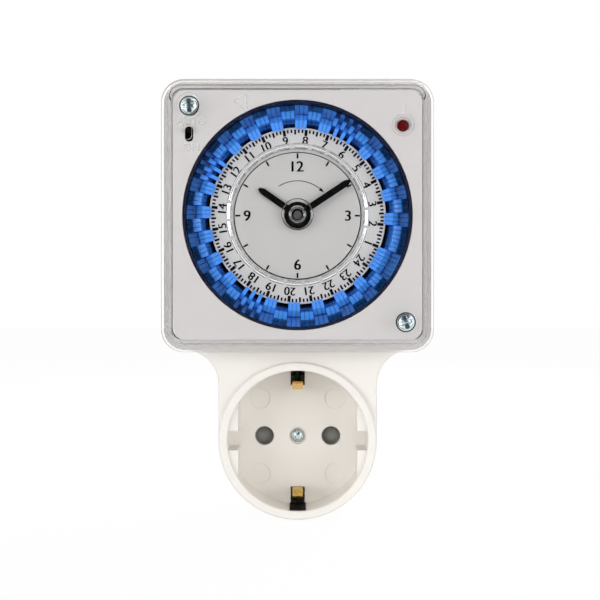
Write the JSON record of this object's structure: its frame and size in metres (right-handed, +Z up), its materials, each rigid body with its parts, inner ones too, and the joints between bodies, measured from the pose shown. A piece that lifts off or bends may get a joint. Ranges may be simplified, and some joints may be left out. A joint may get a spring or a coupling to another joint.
{
  "type": "time switch",
  "caption": "Plug-in mechanical time switch: clear-fronted 24-hour dial with flip segments above a round earthed socket on a keyhole-shaped adaptor base.",
  "frame": {"origin": "on the dial axis, which is also the plug axis, at the wall plane (the flat back of the base)", "axes": "+X right and +Z up as seen from the front; the front faces -Y and the plug points +Y into the wall"},
  "size_m": [0.072, 0.1067, 0.1217],
  "materials": {
    "cream_plastic": "fine satin moulding",
    "grey_plastic": "satin moulding",
    "clear_plastic": "clear, polished",
    "black_plastic": "satin",
    "pale_plastic": "matt, printed",
    "blue_plastic": "semi-gloss",
    "natural_plastic": "moulded",
    "shutter_plastic": "matt",
    "steel": "zinc plated",
    "nickel": "nickel plated",
    "brass": "bright",
    "red_lamp": "tinted dome",
    "board": "laminate",
    "capacitor_case": "moulded box",
    "brown_wire": "insulation",
    "blue_wire": "insulation",
    "green_wire": "insulation"
  },
  "bodies": {
    "housing": {"base_rear": "cream_plastic", "base_front": "cream_plastic", "base_screws": "steel", "plug_body": "cream_plastic", "plug_pin_left": "nickel", "plug_pin_right": "nickel", "plug_earth": "brass", "socket_plate": "cream_plastic", "socket_screw": "steel", "contact_carrier": "natural_plastic", "live_contact": "brass", "neutral_contact": "brass", "earth_contact": "brass", "timer_case": "grey_plastic", "case_screws": "steel", "front_panel": "grey_plastic", "dial_surround": "black_plastic", "status_lamp": "red_lamp", "lamp_board": "board", "front_plate": "steel", "rear_plate": "steel", "plate_pillars": "steel", "plate_screws": "steel", "motor": "steel", "clock_face": "pale_plastic", "switch_body": "black_plastic", "switch_terminals": "brass", "circuit_board": "board", "board_pillars": "steel", "film_capacitor": "capacitor_case", "backup_cell": "steel", "neutral_wire": "blue_wire", "live_wire": "brown_wire", "load_wire": "brown_wire", "earth_wire": "green_wire"},
    "cover": {"clear_cover": "clear_plastic", "cover_screws": "steel"},
    "minute": {"centre_wheel": "natural_plastic", "minute_arbor": "steel", "minute_hand": "black_plastic", "setting_knob": "clear_plastic"},
    "hour": {"hour_wheel": "natural_plastic", "hour_hand": "black_plastic"},
    "side_wheel": {"minute_wheel": "natural_plastic"},
    "motor_shaft": {"motor_pinion": "steel"},
    "dial": {"program_dial": "black_plastic", "scale_ring": "pale_plastic", "segments_in": "blue_plastic", "segments_out": "blue_plastic"},
    "mode": {"mode_slider": "black_plastic"},
    "lever": {"switch_lever": "natural_plastic"},
    "plunger": {"switch_plunger": "natural_plastic"},
    "shutter": {"shutter": "shutter_plastic"},
    "segment_11_00": {"segment_11_00": "blue_plastic"},
    "segment_11_10": {"segment_11_10": "blue_plastic"},
    "segment_11_20": {"segment_11_20": "blue_plastic"},
    "segment_13_00": {"segment_13_00": "blue_plastic"},
    "segment_13_10": {"segment_13_10": "blue_plastic"},
    "segment_13_20": {"segment_13_20": "blue_plastic"}
  },
  "joints": [
    {"name": "minute_turn", "type": "hinge", "parent": "housing", "child": "minute", "pos_m": [0, -0.05, 0], "axis": [0, 1, 0], "continuous": true},
    {"name": "hour_turn", "type": "hinge", "parent": "housing", "child": "hour", "pos_m": [0, -0.05, 0], "axis": [0, 1, 0], "continuous": true},
    {"name": "dial_turn", "type": "hinge", "parent": "housing", "child": "dial", "pos_m": [0, -0.05, 0], "axis": [0, 1, 0], "continuous": true},
    {"name": "side_wheel_turn", "type": "hinge", "parent": "housing", "child": "side_wheel", "pos_m": [0.01559, -0.05, -0.009], "axis": [0, 1, 0], "continuous": true},
    {"name": "motor_turn", "type": "hinge", "parent": "housing", "child": "motor_shaft", "pos_m": [-0.01559, -0.05, -0.009], "axis": [0, 1, 0], "continuous": true},
    {"name": "mode_slide", "type": "slide", "parent": "housing", "child": "mode", "axis": [0, 0, -1], "range_m": [0, 0.002]},
    {"name": "lever_swing", "type": "hinge", "parent": "housing", "child": "lever", "pos_m": [-0.0251, -0.053, 0.022], "axis": [0, -1, 0], "range_deg": [0, 7]},
    {"name": "plunger_press", "type": "slide", "parent": "housing", "child": "plunger", "axis": [0, 0, 1], "range_m": [0, 0.00085], "stiffness_N_per_m": 0.05},
    {"name": "shutter_turn", "type": "hinge", "parent": "housing", "child": "shutter", "pos_m": [0, -0.021, -0.061], "axis": [0, 1, 0], "range_deg": [0, 45], "stiffness_Nm_per_rad": 0.001},
    {"name": "cover_lift", "type": "slide", "parent": "housing", "child": "cover", "axis": [0, -1, 0], "range_m": [0, 0.04]},
    {"name": "segment_11_00_flip", "type": "hinge", "parent": "dial", "child": "segment_11_00", "pos_m": [-0.01646, -0.055, 0.01934], "axis": [-0.7616, 0, -0.6481], "range_deg": [0, 28]},
    {"name": "segment_11_10_flip", "type": "hinge", "parent": "dial", "child": "segment_11_10", "pos_m": [-0.01729, -0.055, 0.01861], "axis": [-0.7326, 0, -0.6807], "range_deg": [0, 28]},
    {"name": "segment_11_20_flip", "type": "hinge", "parent": "dial", "child": "segment_11_20", "pos_m": [-0.01808, -0.055, 0.01784], "axis": [-0.7022, 0, -0.712], "range_deg": [0, 28]},
    {"name": "segment_13_00_flip", "type": "hinge", "parent": "dial", "child": "segment_13_00", "pos_m": [-0.02393, -0.055, 0.00852], "axis": [-0.3355, 0, -0.942], "range_deg": [0, 28]},
    {"name": "segment_13_10_flip", "type": "hinge", "parent": "dial", "child": "segment_13_10", "pos_m": [-0.02428, -0.055, 0.00747], "axis": [-0.2941, 0, -0.9558], "range_deg": [0, 28]},
    {"name": "segment_13_20_flip", "type": "hinge", "parent": "dial", "child": "segment_13_20", "pos_m": [-0.02458, -0.055, 0.0064], "axis": [-0.2522, 0, -0.9677], "range_deg": [0, 28]}
  ],
  "couplings": [
    {"joint": "hour_turn", "follows": "minute_turn", "ratio": 0.083333},
    {"joint": "dial_turn", "follows": "minute_turn", "ratio": 0.041667},
    {"joint": "side_wheel_turn", "follows": "minute_turn", "ratio": -0.33333},
    {"joint": "motor_turn", "follows": "minute_turn", "ratio": -4},
    {"joint": "lever_swing", "follows": "plunger_press", "rad_per_m": 123.46}
  ]
}
